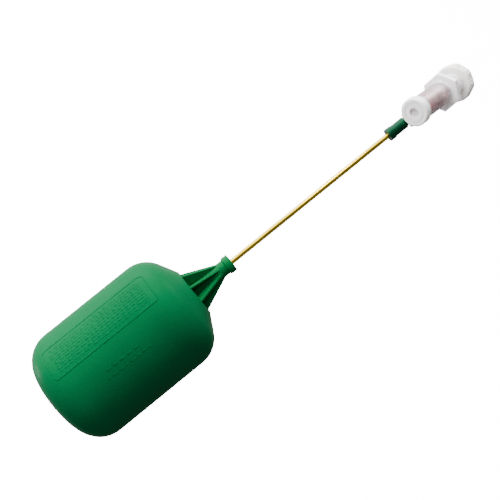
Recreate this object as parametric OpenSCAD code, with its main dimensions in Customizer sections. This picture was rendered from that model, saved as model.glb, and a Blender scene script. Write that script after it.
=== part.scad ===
// Side-lever float valve: threaded inlet tail, piston barrel, lever, rod and hollow float.
// Origin: centre of the gasket face that meets the tank wall. +X along the inlet axis, towards
// the end cap and the float. +Z up. Millimetres. Drawn with the float hanging low, valve open.

/* [Inlet tail] */
// Outside diameter of the tail's thread
thread_d = 20.955; // [20.5:0.005:21.5]
// Thread pitch
thread_pitch = 1.814; // [1.7:0.001:1.9]
// Length of the tail behind the tank wall's face
tail_len = 36; // [34:1:50]
// Water way through the tail
inlet_d = 12; // [10:0.5:13]

/* [Hexagon and nut] */
// Hexagon width across its flats
hex_af = 29.5; // [28:0.5:32]
// Where the hexagon ends towards the cap
hex_front = 6; // [5:0.5:7]
// Rubber washer thickness
gasket_t = 1.5; // [1:0.25:2.5]
// Lock nut width across its flats
nut_af = 32.6; // [32:0.2:34]
// Lock nut thickness
nut_t = 9.5; // [8:0.5:13]
// Gap between the tank wall's face and the nut
nut_gap = 16.5; // [14:0.5:20]

/* [Barrel] */
// Barrel outside diameter
barrel_d = 20.6; // [20:0.1:21.5]
// Piston diameter
piston_d = 15; // [14.6:0.1:15.2]
// Outside diameter of the end cap
cap_d = 24.2; // [23.6:0.1:25]
// Cap face from the tank wall's face
cap_face = 57; // [56:0.5:58]
// Outlet spigot outside diameter
outlet_d = 15; // [14:0.5:15]
// How far the outlet reaches below the inlet axis
outlet_drop = 30; // [26:1:40]

/* [Lever] */
// Pivot behind the cap face: distance from the tank wall's face
pivot_x = 38; // [37.6:0.1:38.4]
// Pivot depth below the inlet axis
pivot_drop = 18; // [17.8:0.1:18.4]
// How far the lever hangs below level when the valve is open
hang = 39; // [36:0.5:42]
// Lean of the short arm towards the cap when the valve is open
lean = 19; // [18.5:0.1:19.2]
// Short arm, pivot to the centre of its round tip
arm_len = 12.5; // [12.3:0.1:12.7]
// Pivot to the outer end of the socket
socket_len = 24.85; // [24:0.25:28]
// Socket tube diameter
socket_d = 10.2; // [9.6:0.1:10.4]

/* [Rod] */
// Rod diameter
rod_d = 4.8; // [4.5:0.1:5]
// Rod seen between the socket and the float's neck
rod_seen = 170; // [120:1:260]

/* [Float] */
// Float diameter
float_d = 100; // [96:1:110]
// Neck length, from its outer end to the shell
neck_len = 39.8; // [38:0.2:42]
// Shell length
shell_len = 144; // [130:1:170]
// Shell wall thickness
wall = 2; // [1.6:0.1:2.5]
// Number of gussets on the neck
gusset_n = 8; // [6:1:10]

/* [Hidden] */
$fn = 64;
eps = 0.01;
fit = 0.05;             // running fit, each side
snug = 0.03;            // gap of pieces assembled together
cut = 1;                // how far a cutting shape runs past the face it cuts
lap = 1;                // how far joined shapes of one piece run into each other

// thread
thread_r = thread_d / 2;
thread_depth = 0.64;    // share of the pitch
crest_share = 0.18;     // share of the pitch
thread_lead = 1;
root_r = thread_r - thread_depth * thread_pitch;
crest_w = crest_share * thread_pitch;
thread_turns = floor((tail_len - thread_lead) / thread_pitch);
nut_front = -nut_gap;
nut_flats = 8;
nut_r = nut_af / 2 / cos(180 / nut_flats);
nut_corner_round = 0.6;
nut_round_r = nut_af / 2 + nut_corner_round;
nut_thread_gap = 0.07;
nut_bore_r = thread_r + nut_thread_gap;
nut_chamfer = 1.3;
groove_r = 0.8;
groove_step = 2.6;
grooves_each_side = 1;
hex_flats = 6;
hex_r = hex_af / 2 / cos(180 / hex_flats);
hex_chamfer = 0.6;
hex_chamfer_deep = 1;
hex_chamfer_r = hex_r - hex_chamfer_deep;
gasket_in_gap = 0.12;
gasket_inset = 0.25;
gasket_in_r = thread_r + gasket_in_gap;
gasket_out_r = hex_af / 2 - gasket_inset;

// barrel
barrel_r = barrel_d / 2;
piston_r = piston_d / 2;
bore_r = piston_r + fit;
bore_start = 8;
cap_cover = 3.7;         // cap in front of the barrel's end
barrel_end = cap_face - cap_cover;
cap_t = 7;
cap_back = cap_face - cap_t;
cap_skirt_lap = 1;
cap_in_r = barrel_r - cap_skirt_lap;
cap_back_chamfer = 0.3;
cap_top_t = 2.5;
cap_inner = cap_face - cap_top_t;
cap_boss_r = 6;
cap_chamfer = 1.1;
cap_ring_r = 8.6;
cap_ring_w = 0.8;
cap_ring_deep = 0.6;
cap_dimple_r = 3.7;
cap_dimple_deep = 1.2;
outlet_x = 18.5;
outlet_r = outlet_d / 2;
outlet_bore_r = 5.2;
outlet_step = 0.9;
outlet_shoulder_r = outlet_r + outlet_step;
outlet_root = 3;         // how far below the axis the outlet starts
outlet_shoulder_drop = 14.5;

// nozzle
nozzle_base_t = 2.8;
nozzle_tip = 13;
nozzle_tip_r = 3.2;
nozzle_root_r = 5;
nozzle_hole_r = 2.2;
o_ring_r = 0.9;

// piston, drawn at its open end of travel
end_gap = 0.4;
piston_end = barrel_end - end_gap;
piston_front = 24.5;
stub_r = 5.9;
stub_len = 2.6;
seal_r = 5.2;
seal_front = 21.5;
retainer_front = 21;
retainer_gap = 0.2;
retainer_r = piston_r - retainer_gap;
retainer_lip_r = 4.4;
piston_ring_x = 29.4;
tip_x = pivot_x + arm_len * sin(lean);
tip_r = 2.5;
tip_slot_gap = 0.35;
tip_slot_top = -2;
arm_t = 3.4;
arm_w = 4.4;
arm_slot_w = 6;
arm_slot_len = 14;
arm_side_gap = 0.4;

// pivot
pin_r = 1.6;
pin_head_r = 2.7;
pin_head_t = 1.3;
pin_tail = 1.5;
hub_r = 4.2;
hub_w = 8.4;
ear_in = 4.6;
ear_t = 2.2;
ear_out = ear_in + ear_t;
ear_r = 4.8;
ear_half = 4.5;
ear_root = -6.6;
clip_t = 0.6;
clip_r = 3.3;
clip_groove_r = 1.15;
clip_mouth = 1.6;
clip_notches = [-120, 0, 120];
clip_notch_r = clip_mouth / 3;

// lever and rod
socket_r = socket_d / 2;
socket_collar_r = 5.7;
socket_root = 6.5;       // from here on the socket is wider than the hub
socket_collar_len = 5.3;
socket_bottom = 8;
rod_r = rod_d / 2;
insert_wall = 0.9;
lever_insert_start = 10;
lever_insert_len = 12;
neck_at = socket_len + rod_seen;
rod_in_neck = 30;
rod_chamfer = 0.5;

// float, distances from the neck's outer end
neck_collar_r = 7.9;
neck_collar_len = 6;
neck_tube_r = 6.6;
neck_insert_start = 3;
neck_insert_len = 14;
neck_insert_r = 4.4;
gusset_t = 1.8;
gusset_base_r = 19;
gusset_top = 12;
gusset_turn = 12;
disc_r = 19.8;
disc_t = 2;
spigot_r = 9.9;
spigot_len = 10;
spigot_bore_r = 7.5;
neck_gasket_t = 1;
neck_gasket_in_r = 11;
neck_gasket_out_r = 16;
float_r = float_d / 2;
shell_top_t = 5;
shell_top_r = 21.2;
shell_cone = 28.6;
shoulder_r = 26;
bottom_r = 25;
bottom_crown = 2;
arc_steps = 12;
gusset_edge = 0.5;
gusset_sunk = 0.6;
gusset_lift = 0.1;
collar_chamfer = 0.5;
shell_at = neck_len;
bottom_at = shell_at + shell_len;
disc_back = shell_at + disc_t;
shoulder_in_r = float_r - shoulder_r;
shoulder_touch_r = shoulder_in_r + shoulder_r * sin(shell_cone);
shoulder_touch_x = shell_at + (shoulder_touch_r - shell_top_r) * tan(shell_cone);
shoulder_x = shoulder_touch_x + shoulder_r * cos(shell_cone);
bottom_x = bottom_at - bottom_crown - bottom_r;
panel_inset = 2;
panel_start = shoulder_x + panel_inset;
panel_end = bottom_x - panel_inset;
panel_turn = 28.5;
panel_half = 15.5;
panel_line = 1.2;
panel_high = 0.5;
panel_sunk = 0.5;
panel_margin = 5;
small_fn = 32;

// parts list

// ---------- helpers ----------
module along_x(x0) { translate([x0, 0, 0]) rotate([0, 90, 0]) children(); }
module rod_x(x0, x1, r) { along_x(x0) cylinder(r = r, h = x1 - x0); }
module cone_x(x0, x1, r0, r1) { along_x(x0) cylinder(r1 = r0, r2 = r1, h = x1 - x0); }
module ring_x(x0, x1, r_out, r_in) {
    difference() {
        rod_x(x0, x1, r_out);
        rod_x(x0 - cut, x1 + cut, r_in);
    }
}
module round_ring_x(x, r_mid, r) {
    along_x(x) rotate_extrude() translate([r_mid, 0]) circle(r = r, $fn = small_fn);
}
// turns a profile of [distance along X, radius] points about the X axis
module turned(points) {
    rotate([0, 90, 0]) rotate_extrude() polygon([for (p = points) [p[1], p[0]]]);
}
module on_pivot() { translate([pivot_x, 0, -pivot_drop]) children(); }
module on_lever() { on_pivot() rotate([0, hang, 0]) children(); }
module on_float() { on_lever() translate([neck_at, 0, 0]) children(); }
module across(r, y0, y1) { translate([0, y0, 0]) rotate([-90, 0, 0]) cylinder(r = r, h = y1 - y0); }

// ---------- valve ----------
function crest(i) = let (x = -tail_len + thread_lead + i * thread_pitch) [
    [x, root_r],
    [x + thread_pitch / 2 - crest_w, thread_r],
    [x + thread_pitch / 2, thread_r],
    [x + thread_pitch - crest_w, root_r]];

module tail() {
    turned(concat(
        [[-tail_len, 0], [-tail_len, root_r]],
        [for (i = [0 : thread_turns - 1]) for (p = crest(i)) p],
        [[gasket_t + lap, root_r], [gasket_t + lap, 0]]));
}

module hexagon() {
    intersection() {
        along_x(gasket_t) cylinder(r = hex_r, h = hex_front - gasket_t, $fn = hex_flats);
        turned([[gasket_t - cut, 0], [gasket_t - cut, hex_r + cut], [hex_front - hex_chamfer, hex_r + cut],
                [hex_front - hex_chamfer, hex_r], [hex_front, hex_chamfer_r], [hex_front, 0]]);
    }
}

module ear(side) {
    on_pivot() {
        across(ear_r, side > 0 ? ear_in : -ear_out, side > 0 ? ear_out : -ear_in);
        translate([-ear_half, side > 0 ? ear_in : -ear_out, 0])
            cube([2 * ear_half, ear_t, pivot_drop + ear_root]);
    }
}

module valve_body() {
    color([0.86, 0.84, 0.82, 0.55])
    difference() {
        union() {
            tail();
            hexagon();
            rod_x(hex_front - lap, cap_back, barrel_r);
            rod_x(cap_back - lap, barrel_end, cap_in_r - snug);
            translate([outlet_x, 0, -outlet_drop]) cylinder(r = outlet_r, h = outlet_drop - outlet_root);
            translate([outlet_x, 0, -outlet_shoulder_drop])
                cylinder(r = outlet_shoulder_r, h = outlet_shoulder_drop - outlet_root);
            ear(1);
            ear(-1);
        }
        rod_x(-tail_len - cut, bore_start + lap, inlet_d / 2);
        rod_x(bore_start, barrel_end + cut, bore_r);
        translate([outlet_x, 0, -outlet_drop - cut]) cylinder(r = outlet_bore_r, h = outlet_drop);
        translate([pivot_x - arm_slot_len / 2, -arm_slot_w / 2, -barrel_r - cut])
            cube([arm_slot_len, arm_slot_w, barrel_r]);
        on_pivot() across(pin_r + snug, -ear_out - cut, ear_out + cut);
    }
}

module seat_nozzle() {
    color([0.92, 0.92, 0.9])
    difference() {
        union() {
            rod_x(bore_start, bore_start + nozzle_base_t, bore_r - snug);
            cone_x(bore_start + nozzle_base_t - eps, nozzle_tip, nozzle_root_r, nozzle_tip_r);
        }
        rod_x(bore_start - cut, nozzle_tip + cut, nozzle_hole_r);
        ring_x(bore_start + nozzle_base_t / 2 - o_ring_r - snug,
               bore_start + nozzle_base_t / 2 + o_ring_r + snug,
               bore_r + cut, bore_r - 2 * o_ring_r - 2 * snug);
    }
}

module nozzle_o_ring() {
    color([0.12, 0.12, 0.13])
    round_ring_x(bore_start + nozzle_base_t / 2, bore_r - o_ring_r - snug, o_ring_r);
}

module wall_gasket() {
    color([0.86, 0.85, 0.82])
    ring_x(0, gasket_t, gasket_out_r, gasket_in_r);
}

module end_cap() {
    color([0.88, 0.87, 0.86, 0.75])
    difference() {
        union() {
            difference() {
                turned([[cap_back, 0], [cap_back, cap_d / 2 - cap_back_chamfer],
                        [cap_back + cap_back_chamfer, cap_d / 2],
                        [cap_face - cap_chamfer, cap_d / 2], [cap_face, cap_d / 2 - cap_chamfer],
                        [cap_face, 0]]);
                rod_x(cap_back - cut, cap_inner, cap_in_r);
            }
            rod_x(barrel_end, cap_inner + lap, cap_boss_r);
        }
        rod_x(cap_face - cap_dimple_deep, cap_face + cut, cap_dimple_r);
        ring_x(cap_face - cap_ring_deep, cap_face + cut, cap_ring_r, cap_ring_r - cap_ring_w);
    }
}

module cap_gasket() {
    color([0.2, 0.2, 0.21])
    ring_x(barrel_end, cap_inner, cap_in_r - 2 * snug, bore_r + snug);
}

module pivot_pin() {
    color([0.75, 0.76, 0.78])
    on_pivot() difference() {
        union() {
            across(pin_r, -ear_out, ear_out + pin_tail);
            across(pin_head_r, -ear_out - pin_head_t, -ear_out);
        }
        difference() {
            across(pin_r + cut, ear_out + snug, ear_out + snug + clip_t + snug);
            across(clip_groove_r, ear_out, ear_out + pin_tail);
        }
    }
}

module pivot_clip() {
    color([0.7, 0.71, 0.73])
    on_pivot() translate([0, ear_out + 1.5 * snug, 0]) difference() {
        across(clip_r, 0, clip_t);
        across(clip_groove_r + snug, -cut, clip_t + cut);
        translate([-clip_mouth / 2, -cut, -clip_r - cut])
            cube([clip_mouth, clip_t + 2 * cut, clip_r + cut]);
        for (a = clip_notches) rotate([0, a, 0]) translate([0, 0, clip_r])
            across(clip_notch_r, -cut, clip_t + cut);
    }
}

module lock_nut() {
    color([0.88, 0.86, 0.84])
    difference() {
        intersection() {
            along_x(nut_front - nut_t) cylinder(r = nut_r, h = nut_t, $fn = nut_flats);
            turned([[nut_front - nut_t, 0], [nut_front - nut_t, nut_round_r - nut_chamfer],
                    [nut_front - nut_t + nut_chamfer, nut_round_r],
                    [nut_front - nut_chamfer, nut_round_r],
                    [nut_front, nut_round_r - nut_chamfer], [nut_front, 0]]);
        }
        rod_x(nut_front - nut_t - cut, nut_front + cut, nut_bore_r);
        for (k = [0 : nut_flats - 1], j = [-grooves_each_side : grooves_each_side])
            rotate([(k + 0.5) * 360 / nut_flats, 0, 0])
                translate([0, groove_step * j, nut_af / 2 + groove_r / 3])
                    rod_x(nut_front - nut_t - cut, nut_front + cut, groove_r);
    }
}

// ---------- piston ----------
module plunger() {
    color([0.42, 0.16, 0.13])
    difference() {
        union() {
            rod_x(piston_front + stub_len, piston_end, piston_r);
            rod_x(piston_front, piston_front + stub_len + lap, stub_r);
        }
        ring_x(piston_ring_x - o_ring_r - snug, piston_ring_x + o_ring_r + snug,
               piston_r + cut, piston_r - 2 * o_ring_r - 2 * snug);
        translate([tip_x - tip_r - tip_slot_gap, -arm_w / 2 - arm_side_gap, -piston_r - cut])
            cube([2 * (tip_r + tip_slot_gap), arm_w + 2 * arm_side_gap, piston_r + cut + tip_slot_top]);
    }
}

module plunger_o_ring() {
    color([0.12, 0.12, 0.13])
    round_ring_x(piston_ring_x, piston_r - o_ring_r, o_ring_r);
}

module seal_disc() {
    color([0.5, 0.12, 0.1])
    rod_x(seal_front, piston_front - snug, seal_r);
}

module seal_retainer() {
    color([0.42, 0.16, 0.13])
    difference() {
        rod_x(retainer_front, piston_front + stub_len - snug, retainer_r);
        rod_x(retainer_front - cut, seal_front + eps, retainer_lip_r);
        rod_x(seal_front - snug, piston_front, seal_r + snug);
        rod_x(piston_front - snug, piston_front + stub_len + cut, stub_r + snug);
    }
}

// ---------- lever and rod ----------
module lever() {
    color([0.03, 0.42, 0.22])
    difference() {
        union() {
            on_pivot() across(hub_r, -hub_w / 2, hub_w / 2);
            on_pivot() rotate([0, lean, 0]) {
                translate([-arm_t / 2, -arm_w / 2, 0]) cube([arm_t, arm_w, arm_len]);
                translate([0, 0, arm_len]) across(tip_r, -arm_w / 2, arm_w / 2);
            }
            on_lever() {
                rod_x(lap, socket_root + lap, hub_r);
                rod_x(socket_root, socket_len, socket_r);
                rod_x(socket_len - socket_collar_len, socket_len, socket_collar_r);
            }
        }
        on_pivot() across(pin_r + fit, -hub_w, hub_w);
        on_lever() {
            rod_x(socket_bottom, socket_len + cut, rod_r + snug);
            rod_x(lever_insert_start, lever_insert_start + lever_insert_len,
                  rod_r + insert_wall + snug);
        }
    }
}

module lever_insert() {
    color([0.8, 0.66, 0.3])
    on_lever() ring_x(lever_insert_start + snug, lever_insert_start + lever_insert_len - snug,
                      rod_r + insert_wall, rod_r + snug);
}

module float_rod() {
    color([0.85, 0.74, 0.4])
    on_lever() turned([
        [socket_bottom + snug, 0], [socket_bottom + snug, rod_r - rod_chamfer],
        [socket_bottom + snug + rod_chamfer, rod_r],
        [neck_at + rod_in_neck - rod_chamfer, rod_r],
        [neck_at + rod_in_neck, rod_r - rod_chamfer], [neck_at + rod_in_neck, 0]]);
}

// ---------- float ----------
module gusset() {
    translate([0, gusset_t / 2, 0]) rotate([90, 0, 0]) linear_extrude(gusset_t)
        polygon([[gusset_top, neck_tube_r - gusset_sunk], [gusset_top, neck_tube_r + gusset_lift],
                 [neck_len - gusset_edge, gusset_base_r],
                 [neck_len + disc_t / 2, gusset_base_r],
                 [neck_len + disc_t / 2, neck_tube_r - gusset_sunk]]);
}

module float_neck() {
    color([0.08, 0.58, 0.34])
    on_float() difference() {
        union() {
            turned([[0, 0], [0, neck_collar_r - collar_chamfer], [collar_chamfer, neck_collar_r],
                    [neck_collar_len - collar_chamfer, neck_collar_r],
                    [neck_collar_len, neck_collar_r - collar_chamfer],
                    [neck_collar_len, neck_tube_r], [shell_at, neck_tube_r],
                    [shell_at, disc_r], [disc_back, disc_r],
                    [disc_back, spigot_r], [disc_back + spigot_len, spigot_r],
                    [disc_back + spigot_len, 0]]);
            for (k = [0 : gusset_n - 1])
                rotate([gusset_turn + k * 360 / gusset_n, 0, 0]) gusset();
        }
        rod_x(-cut, rod_in_neck + snug, rod_r + snug);
        rod_x(neck_insert_start, neck_insert_start + neck_insert_len, neck_insert_r + snug);
        ring_x(disc_back - neck_gasket_t, disc_back + cut, neck_gasket_out_r, neck_gasket_in_r);
        rod_x(shell_at + lap, disc_back + spigot_len + cut, spigot_bore_r);
    }
}

module neck_insert() {
    color([0.8, 0.66, 0.3])
    on_float() ring_x(neck_insert_start + snug, neck_insert_start + neck_insert_len - snug,
                      neck_insert_r, rod_r + snug);
}

module neck_gasket() {
    color([0.2, 0.2, 0.21])
    on_float() ring_x(disc_back - neck_gasket_t + snug, disc_back,
                      neck_gasket_out_r - snug, neck_gasket_in_r + snug);
}

// shell outline, moved inwards by in
function shell_points(in) = concat(
    in == 0 ? [[shell_at, 0], [shell_at, shell_top_r]] :
        [[shell_at + shell_top_t, 0], [shell_at + shell_top_t,
          shell_top_r + (shell_top_t - in / cos(shell_cone)) / tan(shell_cone)]],
    [for (i = [0 : arc_steps])
        let (a = shell_cone + i * (90 - shell_cone) / arc_steps)
        [shoulder_x - (shoulder_r - in) * cos(a), shoulder_in_r + (shoulder_r - in) * sin(a)]],
    [for (i = [0 : arc_steps])
        let (a = i * 90 / arc_steps)
        [bottom_x + (bottom_r - in) * sin(a), float_r - bottom_r + (bottom_r - in) * cos(a)]],
    [[bottom_at - in, 0]]);

module panel_box(grow) {
    long = panel_end - panel_start;
    wide = 2 * float_r * sin(panel_half);
    rotate([panel_turn, 0, 0])
        translate([panel_start - grow, -wide / 2 - grow, float_r / 2])
            cube([long + 2 * grow, wide + 2 * grow, float_r]);
}

module float_shell() {
    color([0.03, 0.49, 0.26])
    on_float() union() {
        difference() {
            turned(shell_points(0));
            turned(shell_points(wall));
            rod_x(shell_at - cut, disc_back, disc_r + snug);
            rod_x(shell_at, shell_at + shell_top_t + cut, spigot_r + snug);
        }
        intersection() {
            ring_x(panel_start - panel_margin, panel_end + panel_margin, float_r + panel_high,
                   float_r - panel_sunk);
            difference() {
                panel_box(0);
                panel_box(-panel_line);
            }
        }
    }
}

valve_body();
seat_nozzle();
nozzle_o_ring();
wall_gasket();
end_cap();
cap_gasket();
pivot_pin();
pivot_clip();
lock_nut();
plunger();
plunger_o_ring();
seal_disc();
seal_retainer();
lever();
lever_insert();
float_rod();
float_neck();
neck_insert();
neck_gasket();
float_shell();
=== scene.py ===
import math
import bmesh
import bpy
from mathutils import Matrix, Vector


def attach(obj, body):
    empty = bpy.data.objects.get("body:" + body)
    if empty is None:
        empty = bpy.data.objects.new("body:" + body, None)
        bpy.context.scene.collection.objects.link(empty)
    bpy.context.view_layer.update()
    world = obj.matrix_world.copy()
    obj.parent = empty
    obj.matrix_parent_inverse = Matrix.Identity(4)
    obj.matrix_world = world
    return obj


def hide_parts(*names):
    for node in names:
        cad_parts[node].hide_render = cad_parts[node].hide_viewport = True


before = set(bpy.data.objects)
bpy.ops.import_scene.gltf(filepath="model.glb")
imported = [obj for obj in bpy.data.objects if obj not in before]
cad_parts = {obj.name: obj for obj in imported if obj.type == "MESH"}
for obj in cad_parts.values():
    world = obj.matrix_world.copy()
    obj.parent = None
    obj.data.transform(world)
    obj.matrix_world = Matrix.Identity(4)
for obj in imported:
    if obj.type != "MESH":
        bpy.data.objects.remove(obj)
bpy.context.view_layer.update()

SCENE = bpy.context.scene
QUARTER = math.pi / 2
TURN = 2 * math.pi

# ---------------------------------------------------------------- places, metres
PIVOT = Vector((0.038, 0.0, -0.018))
HANG = math.radians(39.0)
NECK_AT = 0.19485           # neck's outer end, along the lever from the pivot
SHELL_AT = 0.0398           # shell's top, along the float from the neck's outer end
SHELL_LEN = 0.144
FLOAT_R = 0.050
ROD_R = 0.0024
ALONG = Vector((math.cos(HANG), 0.0, -math.sin(HANG)))    # the lever's line, towards the float
ACROSS = Vector((math.sin(HANG), 0.0, math.cos(HANG)))    # square to it, upwards
LEVER_FRAME = Matrix(((ALONG.x, 0, ACROSS.x, PIVOT.x), (ALONG.y, 1, ACROSS.y, PIVOT.y),
                      (ALONG.z, 0, ACROSS.z, PIVOT.z), (0, 0, 0, 1)))
FLOAT_FRAME = LEVER_FRAME @ Matrix.Translation((NECK_AT, 0, 0))

# ---------------------------------------------------------------- camera, fitted to the view
CAM_AT = Vector((0.63333, 0.02898, 0.37416))
CAM_RIGHT = Vector((-0.5910, 0.6298, 0.5040)).normalized()
CAM_DOWN = Vector((0.4454, 0.7757, -0.4471)).normalized()
CAM_FOCAL = 815.6           # in picture widths of FRAME_WIDTH
FRAME_WIDTH = 500.0
SENSOR = 36.0
cam_data = bpy.data.cameras.new("camera")
cam = bpy.data.objects.new("camera", cam_data)
SCENE.collection.objects.link(cam)
forward = CAM_RIGHT.cross(CAM_DOWN).normalized()
down = forward.cross(CAM_RIGHT).normalized()
cam.matrix_world = Matrix((
    (CAM_RIGHT.x, -down.x, -forward.x, CAM_AT.x),
    (CAM_RIGHT.y, -down.y, -forward.y, CAM_AT.y),
    (CAM_RIGHT.z, -down.z, -forward.z, CAM_AT.z),
    (0, 0, 0, 1)))
cam_data.sensor_width = SENSOR
cam_data.sensor_fit = "HORIZONTAL"
cam_data.lens = SENSOR * CAM_FOCAL / FRAME_WIDTH
cam_data.clip_start = 0.01
cam_data.clip_end = 50.0
SCENE.camera = cam

# ---------------------------------------------------------------- node helpers
MIX_SHARE, MIX_A, MIX_B, MIX_RESULT = 0, 6, 7, 2          # a colour Mix node's sockets
SRGB_KNEE, SRGB_SLOPE, SRGB_LIFT, SRGB_POWER = 0.04045, 12.92, 0.055, 2.4


def new_mat(name):
    m = bpy.data.materials.new(name)
    m.use_nodes = True
    nt = m.node_tree
    nt.nodes.clear()
    out = nt.nodes.new("ShaderNodeOutputMaterial")
    bsdf = nt.nodes.new("ShaderNodeBsdfPrincipled")
    nt.links.new(bsdf.outputs["BSDF"], out.inputs["Surface"])
    return m, nt, bsdf


def coords(nt, scale=(1, 1, 1)):
    tc = nt.nodes.new("ShaderNodeTexCoord")
    mp = nt.nodes.new("ShaderNodeMapping")
    mp.inputs["Scale"].default_value = scale
    nt.links.new(tc.outputs["Object"], mp.inputs["Vector"])
    return mp.outputs["Vector"]


def along_x(nt):
    """distance along the part's X"""
    sep = nt.nodes.new("ShaderNodeSeparateXYZ")
    nt.links.new(coords(nt), sep.inputs[0])
    return sep.outputs["X"]


def from_x_axis(nt):
    """distance from the part's X axis"""
    flat = nt.nodes.new("ShaderNodeVectorMath")
    flat.operation = "MULTIPLY"
    nt.links.new(coords(nt), flat.inputs[0])
    flat.inputs[1].default_value = (0, 1, 1)
    dist = nt.nodes.new("ShaderNodeVectorMath")
    dist.operation = "LENGTH"
    nt.links.new(flat.outputs[0], dist.inputs[0])
    return dist.outputs["Value"]


def noise(nt, vec, scale, detail, rough):
    n = nt.nodes.new("ShaderNodeTexNoise")
    n.inputs["Scale"].default_value = scale
    n.inputs["Detail"].default_value = detail
    n.inputs["Roughness"].default_value = rough
    nt.links.new(vec, n.inputs["Vector"])
    return n.outputs["Fac"]


def ramp(nt, fac, stops):
    r = nt.nodes.new("ShaderNodeValToRGB")
    elements = r.color_ramp.elements
    while len(elements) < len(stops):
        elements.new(0.5)
    for element, (at, colour) in zip(elements, stops):
        element.position = at
        element.color = (*colour, 1.0)
    nt.links.new(fac, r.inputs["Fac"])
    return r.outputs["Color"]


def remap(nt, fac, span, to):
    r = nt.nodes.new("ShaderNodeMapRange")
    r.inputs["From Min"].default_value, r.inputs["From Max"].default_value = span
    r.inputs["To Min"].default_value, r.inputs["To Max"].default_value = to
    nt.links.new(fac, r.inputs["Value"])
    return r.outputs["Result"]


def blend(nt, a, a_share, b, b_share):
    """weighted sum of two values"""
    parts = []
    for socket, share in ((a, a_share), (b, b_share)):
        n = nt.nodes.new("ShaderNodeMath")
        n.operation = "MULTIPLY"
        nt.links.new(socket, n.inputs[0])
        n.inputs[1].default_value = share
        parts.append(n.outputs[0])
    total = nt.nodes.new("ShaderNodeMath")
    total.operation = "ADD"
    nt.links.new(parts[0], total.inputs[0])
    nt.links.new(parts[1], total.inputs[1])
    return total.outputs[0]


def mixed(nt, mode, share, a, b):
    """colour socket a with the plain colour b over it, by a share from a socket"""
    n = nt.nodes.new("ShaderNodeMix")
    n.data_type = "RGBA"
    n.blend_type = mode
    nt.links.new(share, n.inputs[MIX_SHARE])
    nt.links.new(a, n.inputs[MIX_A])
    n.inputs[MIX_B].default_value = (*b, 1.0)
    return n.outputs[MIX_RESULT]


def bumps(nt, bsdf, layers):
    """layers: (height socket, distance in metres, strength)"""
    last = None
    for height, distance, strength in layers:
        b = nt.nodes.new("ShaderNodeBump")
        b.inputs["Distance"].default_value = distance
        b.inputs["Strength"].default_value = strength
        nt.links.new(height, b.inputs["Height"])
        if last is not None:
            nt.links.new(last, b.inputs["Normal"])
        last = b.outputs["Normal"]
    nt.links.new(last, bsdf.inputs["Normal"])


def srgb(r, g, b):
    def linear(c):
        c /= 255.0
        return c / SRGB_SLOPE if c <= SRGB_KNEE else ((c + SRGB_LIFT) / (1 + SRGB_LIFT)) ** SRGB_POWER
    return (linear(r), linear(g), linear(b))


def scaled(colour, k, lift=0.0):
    return tuple(min(1.0, x * k + lift) for x in colour)


# ---------------------------------------------------------------- materials
def moulded(name, base, rough, spread, spec=0.35, tint=None, sss=0.0):
    """moulded plastic or rubber: flow marks, fine grain, faint scuffs"""
    m, nt, b = new_mat(name)
    v = coords(nt)
    flow = noise(nt, v, scale=22.0, detail=5.0, rough=0.6)
    fine = noise(nt, v, scale=1500.0, detail=3.0, rough=0.6)
    scuff = noise(nt, coords(nt, (1.0, 6.0, 1.0)), scale=160.0, detail=6.0, rough=0.7)
    col = ramp(nt, flow, [(0.3, scaled(base, 1.0 - spread)), (0.5, base), (0.72, scaled(base, 1.0 + spread))])
    scuffed = remap(nt, scuff, (0.62, 0.8), (0.0, 0.22))
    col = mixed(nt, "MIX", scuffed, col, scaled(base, 1.25, lift=0.02))
    nt.links.new(col, b.inputs["Base Color"])
    worn = blend(nt, flow, 0.6, scuff, 0.4)
    nt.links.new(remap(nt, worn, (0.3, 0.75), (rough - 0.06, rough + 0.1)), b.inputs["Roughness"])
    b.inputs["IOR"].default_value = 1.49
    b.inputs["Specular IOR Level"].default_value = spec
    if tint:
        b.inputs["Specular Tint"].default_value = (*tint, 1.0)
    if sss:
        b.inputs["Subsurface Weight"].default_value = sss
        b.inputs["Subsurface Radius"].default_value = (1.0, 1.0, 1.0)
        b.inputs["Subsurface Scale"].default_value = 0.0015
    bumps(nt, b, [(flow, 0.0004, 0.25), (fine, 0.00002, 0.5)])
    return m


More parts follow.
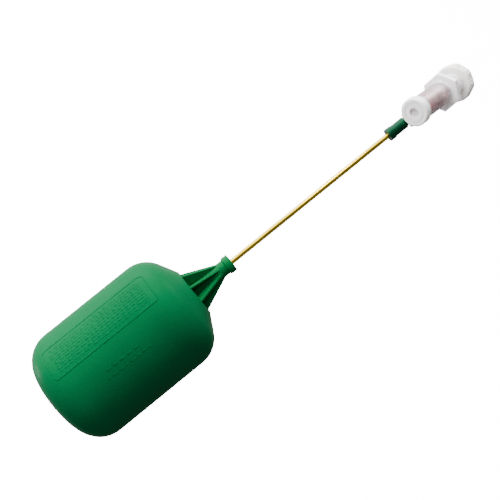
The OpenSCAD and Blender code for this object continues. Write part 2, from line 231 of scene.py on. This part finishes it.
def nylon(name, base, clear, rough, milky_to=None, painted_shade_radius=None):
    """natural nylon: milky, lets the pieces inside show. It stays milky up to milky_to along X, where the walls are
    thick; past that its colour carries a painted mauve shade for the piston seen through the wall. Given a radius, it
    also carries painted shade within that radius of the X axis, where the thin wall lets the piston show."""
    m, nt, b = new_mat(name)
    v = coords(nt)
    cloud = noise(nt, v, scale=90.0, detail=4.0, rough=0.55)
    fine = noise(nt, v, scale=1800.0, detail=3.0, rough=0.6)
    col = ramp(nt, cloud, [(0.3, scaled(base, 0.93)), (0.55, base), (0.75, scaled(base, 1.04))])
    if painted_shade_radius is not None:
        edge = (painted_shade_radius - 0.0006, painted_shade_radius + 0.0008)
        # painted shade: the colour is darker towards the X axis, standing in for the piston seen through the thin
        # centre
        col = mixed(nt, "MULTIPLY", remap(nt, from_x_axis(nt), edge, (0.75, 0.0)), col, (0.55, 0.50, 0.53))
    if milky_to is None:
        b.inputs["Transmission Weight"].default_value = clear
    else:
        # painted mauve shade: past the thick walls the colour is darkened towards mauve, standing in for the red
        # piston seen through the wall
        painted_piston_shade = remap(nt, along_x(nt), (milky_to + 0.003, milky_to + 0.009), (0.0, 1.0))
        col = mixed(nt, "MULTIPLY", painted_piston_shade, col, (0.98, 0.84, 0.85))
        clearing = remap(nt, along_x(nt), (milky_to, milky_to + 0.004), (0.2, clear))
        nt.links.new(clearing, b.inputs["Transmission Weight"])
    nt.links.new(col, b.inputs["Base Color"])
    nt.links.new(remap(nt, cloud, (0.3, 0.75), (rough - 0.05, rough + 0.07)), b.inputs["Roughness"])
    b.inputs["IOR"].default_value = 1.45
    b.inputs["Subsurface Weight"].default_value = 0.35
    b.inputs["Subsurface Radius"].default_value = (1.0, 0.9, 0.8)
    b.inputs["Subsurface Scale"].default_value = 0.002
    bumps(nt, b, [(cloud, 0.0003, 0.25), (fine, 0.00002, 0.5)])
    return m


def metal(name, base, rough, stretch, edge=(1.0, 1.0, 1.0)):
    """drawn or turned metal: fine lines, faint blotches; edge colours the grazing reflections"""
    m, nt, b = new_mat(name)
    lines = noise(nt, coords(nt, stretch), scale=220.0, detail=6.0, rough=0.7)
    blot = noise(nt, coords(nt), scale=60.0, detail=4.0, rough=0.6)
    col = ramp(nt, blot, [(0.3, scaled(base, 0.82)), (0.52, base), (0.75, scaled(base, 1.1))])
    nt.links.new(col, b.inputs["Base Color"])
    b.inputs["Metallic"].default_value = 1.0
    b.inputs["Specular Tint"].default_value = (*edge, 1.0)
    worn = blend(nt, lines, 0.5, blot, 0.5)
    nt.links.new(remap(nt, worn, (0.3, 0.75), (rough - 0.08, rough + 0.12)), b.inputs["Roughness"])
    bumps(nt, b, [(lines, 0.00003, 0.6), (blot, 0.0001, 0.2)])
    return m


GREEN_SHELL = moulded("green_shell", (0.0002, 0.067, 0.021), 0.32, 0.08, spec=0.012, tint=(0.1, 1.0, 0.6))
GREEN_NECK = moulded("green_neck", (0.0002, 0.072, 0.018), 0.42, 0.10, spec=0.05, tint=(0.1, 1.0, 0.6))
GREEN_DARK = moulded("green_lever", (0.0002, 0.018, 0.0056), 0.42, 0.12, spec=0.16, tint=(0.2, 1.0, 0.6))
BROWN = moulded("piston_plastic", srgb(128, 44, 42), 0.45, 0.15)
WHITE = moulded("nozzle_plastic", srgb(225, 224, 220), 0.4, 0.05)
RED_RUBBER = moulded("seal_rubber", srgb(130, 36, 30), 0.6, 0.1)
BLACK_RUBBER = moulded("o_ring_rubber", srgb(34, 34, 36), 0.5, 0.15)
PALE_RUBBER = moulded("pale_rubber", srgb(226, 222, 216), 0.55, 0.05, sss=0.3)
GREY_RUBBER = moulded("gasket_rubber", srgb(62, 62, 66), 0.62, 0.15)
# the body's colour carries a painted mauve shade past 6 mm along X, for the piston seen through the barrel
NYLON_BODY = nylon("nylon_body", srgb(252, 246, 247), 0.92, 0.3, milky_to=0.006)
# the cap's colour carries painted shade within 4 mm of its axis, for the piston seen through its thin centre
NYLON_CAP = nylon("nylon_cap", srgb(250, 246, 247), 0.2, 0.3, painted_shade_radius=0.0040)
NYLON_NUT = nylon("nylon_nut", srgb(248, 244, 240), 0.2, 0.34)
BRASS = metal("brass_rod", (0.40, 0.285, 0.020), 0.18, (0.12, 3.0, 0.12), edge=(0.75, 0.55, 0.2))
BRASS_IN = metal("brass_insert", (0.8, 0.56, 0.2), 0.35, (1, 1, 1))
STEEL = metal("steel", (0.62, 0.62, 0.64), 0.3, (1, 6, 1))


# ---------------------------------------------------------------- mesh helpers
def link(name, bm, mat):
    """a piece built in the float's own frame, smooth shaded, put in its place on the part"""
    me = bpy.data.meshes.new(name)
    bmesh.ops.recalc_face_normals(bm, faces=bm.faces)
    bm.to_mesh(me)
    bm.free()
    me.transform(FLOAT_FRAME)
    o = bpy.data.objects.new(name, me)
    SCENE.collection.objects.link(o)
    for poly in me.polygons:
        poly.use_smooth = True
    me.materials.append(mat)
    return o


def sharpen(o, degrees):
    """smooth shading with creases above an angle, as plain mesh data"""
    me = o.data
    bm = bmesh.new()
    bm.from_mesh(me)
    for e in bm.edges:
        e.smooth = not (len(e.link_faces) == 2 and e.calc_face_angle(0.0) > math.radians(degrees))
    bm.to_mesh(me)
    bm.free()


def around(x, r, angle):
    """a place at a distance along X, a radius and an angle from the top towards -Y"""
    return Vector((x, -r * math.sin(angle), r * math.cos(angle)))


def lathe(bm, profile, segs, closed=False):
    """profile of (x along the axis, radius), turned about X"""
    rings = []
    for x, r in profile:
        count = 1 if r < 1e-7 else segs
        rings.append([bm.verts.new(around(x, r, TURN * k / segs)) for k in range(count)])
    pairs = list(zip(rings[:-1], rings[1:]))
    if closed:
        pairs.append((rings[-1], rings[0]))
    for a, b in pairs:
        for k in range(segs):
            k2 = (k + 1) % segs
            if len(a) == 1 and len(b) == 1:
                continue
            if len(a) == 1:
                bm.faces.new((a[0], b[k], b[k2]))
            elif len(b) == 1:
                bm.faces.new((a[k], b[0], a[k2]))
            else:
                bm.faces.new((a[k], b[k], b[k2], a[k2]))


def rounded(points, radii, steps=4):
    """a profile with its corners rounded, one radius per point"""
    out = []
    nearly_straight = math.radians(176)
    for i, (p, r) in enumerate(zip(points, radii)):
        if i in (0, len(points) - 1) or r <= 0:
            out.append(p)
            continue
        a, b, c = (Vector((*points[k], 0)) for k in (i - 1, i, i + 1))
        u, v = (a - b), (c - b)
        angle = u.angle(v)
        if angle > nearly_straight:
            out.append(p)
            continue
        reach = min(r / math.tan(angle / 2), 0.45 * min(u.length, v.length))
        p0, p1 = b + u.normalized() * reach, b + v.normalized() * reach
        for k in range(steps + 1):
            f = k / steps
            q = p0 * (1 - f) ** 2 + b * 2 * f * (1 - f) + p1 * f * f
            out.append((q.x, q.y))
    return out


def arc(centre_x, centre_r, radius, start, end, steps):
    """points of (x, radius) round an arc; angle 0 points away from the axis and grows towards +X"""
    turns = [start + (end - start) * i / steps for i in range(steps + 1)]
    return [(centre_x + radius * math.sin(a), centre_r + radius * math.cos(a)) for a in turns]


# ---------------------------------------------------------------- float shell
SHELL_TOP_R = 0.0212
CONE = math.radians(28.6)
SHOULDER_R = 0.026
BOTTOM_R = 0.025
CROWN = 0.002
WALL = 0.0024
TOP_T = 0.005
TOP_INSIDE_R = 0.0235
SPIGOT_R = 0.0102           # hole for the neck's spigot
RECESS_R, RECESS = 0.01985, 0.0020      # seat for the neck's disc
RECESS_EDGE = 0.0003
LIP = 0.0002
SHELL_SEGS = 160
CONE_RINGS, SHOULDER_RINGS, SIDE_RINGS, BOTTOM_RINGS, CROWN_RINGS, INSIDE_RINGS = 7, 24, 40, 28, 14, 8
# small moulding gate in the middle of the end: (depth, radius)
GATE = ((0.0001, 0.0022), (0.0006, 0.0019), (0.0007, 0.0009), (0.0003, 0.0006), (0.0003, 0.0))

BOTTOM_AT = SHELL_AT + SHELL_LEN
SHOULDER_IN = FLOAT_R - SHOULDER_R      # radius of the shoulder's centre
BOTTOM_IN = FLOAT_R - BOTTOM_R
TOUCH_R = SHOULDER_IN + SHOULDER_R * math.sin(CONE)
TOUCH_X = SHELL_AT + (TOUCH_R - SHELL_TOP_R) * math.tan(CONE)
SHOULDER_X = TOUCH_X + SHOULDER_R * math.cos(CONE)
BOTTOM_X = BOTTOM_AT - CROWN - BOTTOM_R


def shell_profile():
    """outside of the shell, from the hole for the neck to the gate"""
    pts = [(SHELL_AT + RECESS, SPIGOT_R), (SHELL_AT + RECESS, RECESS_R), (SHELL_AT + RECESS_EDGE, RECESS_R),
           (SHELL_AT, RECESS_R + 0.00035), (SHELL_AT, SHELL_TOP_R - 2 * LIP), (SHELL_AT + LIP / 2, SHELL_TOP_R + LIP)]
    for i in range(1, CONE_RINGS):
        r = SHELL_TOP_R + (TOUCH_R - SHELL_TOP_R) * i / CONE_RINGS
        pts.append((SHELL_AT + (r - SHELL_TOP_R) * math.tan(CONE), r))
    pts += arc(SHOULDER_X, SHOULDER_IN, SHOULDER_R, CONE - QUARTER, 0.0, SHOULDER_RINGS)
    pts += [(SHOULDER_X + (BOTTOM_X - SHOULDER_X) * i / SIDE_RINGS, FLOAT_R) for i in range(1, SIDE_RINGS)]
    pts += arc(BOTTOM_X, BOTTOM_IN, BOTTOM_R, 0.0, QUARTER, BOTTOM_RINGS)
    for i in range(1, CROWN_RINGS - 1):
        share = 1 - i / CROWN_RINGS
        pts.append((BOTTOM_AT - CROWN * share ** 2, BOTTOM_IN * share))
    return pts + [(BOTTOM_AT - depth, r) for depth, r in GATE]


def shell_inside():
    """inside of the shell, from the closed end back to the hole for the neck"""
    inside_end = BOTTOM_AT - WALL - CROWN
    pts = [(inside_end, 0.0), (inside_end, BOTTOM_IN)]
    pts += arc(BOTTOM_X, BOTTOM_IN, BOTTOM_R - WALL, QUARTER, 0.0, INSIDE_RINGS)[1:]
    pts += arc(SHOULDER_X, SHOULDER_IN, SHOULDER_R - WALL, 0.0, CONE - QUARTER, INSIDE_RINGS)
    return pts + [(SHELL_AT + TOP_T, TOP_INSIDE_R), (SHELL_AT + TOP_T, SPIGOT_R)]


bm = bmesh.new()
lathe(bm, shell_profile() + shell_inside(), SHELL_SEGS, closed=True)
shell = link("float_skin", bm, GREEN_SHELL)
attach(shell, "lever")
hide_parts("float_shell")

# ---------------------------------------------------------------- raised lines on the float's side
RIDGE = ((-0.5, 0.0), (-0.36, 0.75), (-0.16, 1.0), (0.16, 1.0), (0.36, 0.75), (0.5, 0.0))   # shares of width, height
SUNK = 0.00025              # how far a line's foot lies inside the shell
PANEL_X0, PANEL_X1 = SHOULDER_X - 0.0078, BOTTOM_X + 0.006
PANEL_MID = FLOAT_R * math.radians(29.5)
PANEL_HALF = FLOAT_R * math.radians(16.5)
PANEL_CORNER = 0.003
FRAME_W, FRAME_H = 0.0012, 0.0003
FRAME_STEP, BAR_STEP = 0.0015, 0.003
BAR_ROWS = 9
BAR_LENGTHS = (4, 3, 5, 2, 4, 3, 5, 3)  # millimetres, repeated
BAR_W, BAR_H, BAR_GAP = 0.0011, 0.00014, 0.0013
BAR_SPREAD = 0.72           # outermost rows, as a share of the panel's half width
BAR_START, BAR_END = 0.006, 0.005
# two short plain rows lower on the side: (degrees, start, bar lengths in millimetres, width)
LOW_ROWS = ((-8.0, 0.034, (5, 4, 6, 4, 5), 0.0018), (-15.0, 0.026, (3, 4, 3, 5, 3, 4, 5, 3), 0.0012))
LOW_H, LOW_GAP = 0.00013, 0.0018


def side_radius(x):
    """radius of the shell at a distance along it, on the side and a little way into both curves"""
    if x < SHOULDER_X:
        return SHOULDER_IN + math.sqrt(SHOULDER_R ** 2 - (SHOULDER_X - x) ** 2)
    if x > BOTTOM_X:
        return BOTTOM_IN + math.sqrt(BOTTOM_R ** 2 - (x - BOTTOM_X) ** 2)
    return FLOAT_R


def raised_line(bm, path, width, height, closed=False):
    """a low rounded ridge along a path of (distance along the float, arc from its top line towards -Y)"""
    n = len(path)
    rows = []
    for i in range(n):
        p = Vector(path[i])
        a = Vector(path[(i - 1) % n]) if (closed or i > 0) else p
        b = Vector(path[(i + 1) % n]) if (closed or i < n - 1) else p
        run = (b - a).normalized()
        side = Vector((-run.y, run.x))
        step = (p - a).normalized() if (p - a).length > 1e-9 else run
        mitre = 1.0 / max(0.6, abs(step.dot(run)))
        row = []
        for share, lift in RIDGE:
            q = p + side * share * width * mitre
            rise = height * lift if lift > 0 else -SUNK
            row.append(bm.verts.new(around(q.x, side_radius(q.x) + rise, q.y / FLOAT_R)))
        rows.append(row)
    for i in range(n if closed else n - 1):
        a, b = rows[i], rows[(i + 1) % n]
        for k in range(len(RIDGE)):
            k2 = (k + 1) % len(RIDGE)
            bm.faces.new((a[k], a[k2], b[k2], b[k]))
    if not closed:
        bm.faces.new(rows[0])
        bm.faces.new(list(reversed(rows[-1])))


def round_box(x0, x1, y0, y1, r, step):
    corners = ((x1 - r, y1 - r, 0), (x0 + r, y1 - r, 90), (x0 + r, y0 + r, 180), (x1 - r, y0 + r, 270))
    pts = []
    for cx, cy, start in corners:
        for k in range(7):
            a = math.radians(start + 15 * k)
            pts.append((cx + r * math.cos(a), cy + r * math.sin(a)))
    out = []
    for p, q in zip(pts, pts[1:] + pts[:1]):
        n = max(1, int(math.dist(p, q) / step))
        out += [(p[0] + (q[0] - p[0]) * k / n, p[1] + (q[1] - p[1]) * k / n) for k in range(n)]
    return out


def bar(bm, x, length, y, width, height):
    n = max(2, int(length / BAR_STEP))
    raised_line(bm, [(x + length * k / n, y) for k in range(n + 1)], width, height)


bm = bmesh.new()
frame_line = round_box(PANEL_X0, PANEL_X1, PANEL_MID - PANEL_HALF, PANEL_MID + PANEL_HALF, PANEL_CORNER, FRAME_STEP)
raised_line(bm, frame_line, FRAME_W, FRAME_H, closed=True)
for row in range(BAR_ROWS):
    y = PANEL_MID + PANEL_HALF * BAR_SPREAD * (1 - 2 * row / (BAR_ROWS - 1))
    x = PANEL_X0 + BAR_START
    k = 3 * row
    while x + BAR_LENGTHS[k % len(BAR_LENGTHS)] / 1000 <= PANEL_X1 - BAR_END:
        length = BAR_LENGTHS[k % len(BAR_LENGTHS)] / 1000
        bar(bm, x, length, y, BAR_W, BAR_H)
        x += length + BAR_GAP
        k += 1
for degrees, start, lengths, width in LOW_ROWS:
    x = PANEL_X0 + start
    for length in lengths:
        bar(bm, x, length / 1000, FLOAT_R * math.radians(degrees), width, LOW_H)
        x += length / 1000 + LOW_GAP
marks = link("float_marks", bm, GREEN_SHELL)
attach(marks, "lever")

# ---------------------------------------------------------------- parting line of the mould, along both sides
SEAM_TURNS = (100.0, -80.0)
SEAM = ((-0.35, -0.0003), (-0.16, 0.00016), (0.16, 0.00016), (0.35, -0.0003))   # (millimetres across, rise)
SEAM_TOP_R, SEAM_END_R = 0.0215, 0.012
bm = bmesh.new()
seam_path = [(x, r) for x, r in shell_profile()
             if r > SEAM_END_R and x > SHELL_AT + 0.001 and (r > SEAM_TOP_R or x > BOTTOM_X)]
for turn in SEAM_TURNS:
    rows = []
    for x, r in seam_path:
        places = [around(x, r + rise, math.radians(turn) + across / 1000 / r) for across, rise in SEAM]
        rows.append([bm.verts.new(place) for place in places])
    for a, b in zip(rows[:-1], rows[1:]):
        for k in range(len(SEAM)):
            k2 = (k + 1) % len(SEAM)
            bm.faces.new((a[k], a[k2], b[k2], b[k]))
    bm.faces.new(rows[0])
    bm.faces.new(list(reversed(rows[-1])))
seam = link("float_seam", bm, GREEN_SHELL)
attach(seam, "lever")

# ---------------------------------------------------------------- float neck
COLLAR_R, COLLAR_LEN, COLLAR_STEP = 0.0079, 0.006, 0.0004
TUBE_R = 0.0066
ROD_HOLE_R = ROD_R + 0.00004
ROD_HOLE_END = 0.030
MOUTH_R, MOUTH_EDGE = ROD_R + 0.0009, 0.0008
INSERT_R, INSERT_X0, INSERT_X1 = 0.0044, 0.003, 0.017
DISC_R, DISC_BACK = 0.0198, SHELL_AT + 0.002
RING_OUT_R, RING_IN_R, RING_DEPTH = 0.0161, 0.0109, 0.001
NECK_SPIGOT_R, NECK_SPIGOT_LEN = 0.010, 0.005
HOLLOW_R = 0.007
NECK_SEGS = 96
GUSSETS, GUSSET_FIRST = 8, 12.0
GUSSET_R = 0.019
GUSSET_X, GUSSET_EDGE = 0.0115, 0.0006
GUSSET_ROOT = TUBE_R - 0.0012
GUSSET_HALF, GUSSET_TAPER = 0.0009, 0.0004
GUSSET_RIM = 0.00035
# (distance along the float, radius, rounding)
NECK = (
    (ROD_HOLE_END, 0.0, 0), (ROD_HOLE_END, ROD_HOLE_R, 0), (INSERT_X1, ROD_HOLE_R, 0), (INSERT_X1, INSERT_R, 0),
    (INSERT_X0, INSERT_R, 0), (INSERT_X0, ROD_HOLE_R, 0), (MOUTH_EDGE, ROD_HOLE_R, 0), (0.0, MOUTH_R, 0.0002),
    (0.0, 0.0052, 0.0002), (0.0, COLLAR_R, 0.0007), (COLLAR_LEN, COLLAR_R, 0.0006),
    (COLLAR_LEN + COLLAR_STEP, TUBE_R, 0.0004), (ROD_HOLE_END, TUBE_R + 0.0002, 0.004),
    (SHELL_AT - 0.0002, TUBE_R + 0.0012, 0.0012), (SHELL_AT, DISC_R, 0.0003), (DISC_BACK, DISC_R, 0),
    (DISC_BACK, RING_OUT_R, 0), (DISC_BACK - RING_DEPTH, RING_OUT_R, 0), (DISC_BACK - RING_DEPTH, RING_IN_R, 0),
    (DISC_BACK, RING_IN_R, 0), (DISC_BACK, NECK_SPIGOT_R, 0), (DISC_BACK + NECK_SPIGOT_LEN, NECK_SPIGOT_R, 0),
    (DISC_BACK + NECK_SPIGOT_LEN, HOLLOW_R, 0), (SHELL_AT + 0.001, HOLLOW_R, 0), (SHELL_AT + 0.001, 0.0, 0))
# (distance along the float, radius, rounding)
GUSSET = (
    (GUSSET_X, GUSSET_ROOT, 0), (GUSSET_X + 0.0003, TUBE_R + 0.0001, 0.002),
    (SHELL_AT - 2 * GUSSET_EDGE, GUSSET_R - 0.0003, GUSSET_EDGE), (SHELL_AT - GUSSET_EDGE, GUSSET_R, GUSSET_EDGE),
    (SHELL_AT + GUSSET_EDGE, GUSSET_R, 0), (SHELL_AT + GUSSET_EDGE, GUSSET_ROOT, 0))


def rounded_outline(rows, steps=4):
    return rounded([(x, r) for x, r, _ in rows], [rounding for _, _, rounding in rows], steps)


def gusset(bm, degrees):
    """one thin rib with softened edges, closed inside the tube and the disc"""
    turn = Matrix.Rotation(math.radians(degrees), 4, "X")
    columns = [[], [], [], []]
    for x, r in rounded_outline(GUSSET, 3):
        half = GUSSET_HALF + GUSSET_TAPER * max(0.0, (GUSSET_R - r) / GUSSET_R)
        flank = max(GUSSET_ROOT, r - GUSSET_RIM)
        places = ((-half, flank), (-half + GUSSET_RIM, r), (half - GUSSET_RIM, r), (half, flank))
        for column, (across, out) in zip(columns, places):
            column.append(bm.verts.new(turn @ Vector((x, across, out))))
    left, left_in, right_in, right = columns
    for a, b in zip(columns[:-1], columns[1:]):
        for i in range(len(left) - 1):
            bm.faces.new((a[i], a[i + 1], b[i + 1], b[i]))
    bm.faces.new(left)
    bm.faces.new(list(reversed(right)))
    bm.faces.new((left[0], right[0], right[-1], left[-1]))
    for end in (0, -1):
        bm.faces.new((left[end], left_in[end], right_in[end], right[end]))


bm = bmesh.new()
lathe(bm, rounded_outline(NECK), NECK_SEGS)
for k in range(GUSSETS):
    gusset(bm, GUSSET_FIRST + 360.0 / GUSSETS * k)
neck = link("neck_moulding", bm, GREEN_NECK)
sharpen(neck, 38)
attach(neck, "lever")
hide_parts("float_neck")

# ---------------------------------------------------------------- materials of the CAD nodes
CAD_MATS = {
    "valve_body": NYLON_BODY, "seat_nozzle": WHITE, "nozzle_o_ring": BLACK_RUBBER, "wall_gasket": PALE_RUBBER,
    "end_cap": NYLON_CAP, "cap_gasket": GREY_RUBBER, "pivot_pin": STEEL, "pivot_clip": STEEL, "lock_nut": NYLON_NUT,
    "plunger": BROWN, "plunger_o_ring": BLACK_RUBBER, "seal_disc": RED_RUBBER, "seal_retainer": BROWN,
    "lever": GREEN_DARK, "lever_insert": BRASS_IN, "float_rod": BRASS, "float_neck": GREEN_NECK,
    "neck_insert": BRASS_IN, "neck_gasket": GREY_RUBBER, "float_shell": GREEN_SHELL}
for name, mat in CAD_MATS.items():
    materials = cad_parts[name].data.materials
    materials.clear()
    materials.append(mat)

# ---------------------------------------------------------------- floor: pale, glowing, seen by the camera alone
bpy.ops.mesh.primitive_grid_add(x_subdivisions=8, y_subdivisions=8, size=8.0, location=(0.1, 0, -0.62))
floor = bpy.context.object
floor.name = "floor"
paper, nt, bsdf = new_mat("floor_paper")
mottle = noise(nt, coords(nt), scale=3.0, detail=3.0, rough=0.5)
nt.links.new(ramp(nt, mottle, [(0.3, (0.86, 0.86, 0.86)), (0.7, (0.9, 0.9, 0.9))]), bsdf.inputs["Base Color"])
bsdf.inputs["Roughness"].default_value = 0.9
bsdf.inputs["Emission Color"].default_value = (1, 1, 1, 1)
bsdf.inputs["Emission Strength"].default_value = 14.0
floor.data.materials.append(paper)
floor.visible_diffuse = False
floor.visible_glossy = False
floor.visible_transmission = False


# ---------------------------------------------------------------- light
def area(name, at, to, size, power):
    d = bpy.data.lights.new(name, "AREA")
    d.shape = "DISK"
    d.size = size
    d.energy = power
    o = bpy.data.objects.new(name, d)
    SCENE.collection.objects.link(o)
    o.location = at
    o.rotation_euler = (to - at).to_track_quat("-Z", "Y").to_euler()


MID = Vector((0.16, 0.0, -0.1))
area("key", MID + Vector((0.10, -1.15, 0.30)), MID, size=2.2, power=118.0)
area("edge", MID + Vector((-0.9, -0.35, 0.5)), MID, size=0.5, power=8.0)
area("shoulder", Vector((0.346, -0.654, 0.487)), Vector((0.30, 0.0, -0.16)), size=0.1, power=5.0)
area("rim", Vector((0.474, -0.221, -0.547)), Vector((0.346, -0.027, -0.221)), size=0.1, power=0.6)

# soft surroundings, bright towards -Y: (share of the way from -Y to +Y, grey)
GREYS = ((0.0, 0.8), (0.42, 0.58), (0.54, 0.36), (0.66, 0.05), (0.84, 0.05), (1.0, 0.3))
world = bpy.data.worlds.new("world")
world.use_nodes = True
nt = world.node_tree
background = nt.nodes["Background"]
place = nt.nodes.new("ShaderNodeTexCoord")
split = nt.nodes.new("ShaderNodeSeparateXYZ")
nt.links.new(place.outputs["Generated"], split.inputs[0])
across = remap(nt, split.outputs["Y"], (-1.0, 1.0), (0.0, 1.0))
nt.links.new(ramp(nt, across, [(at, (grey, grey, grey)) for at, grey in GREYS]), background.inputs["Color"])
background.inputs["Strength"].default_value = 2.6
SCENE.world = world
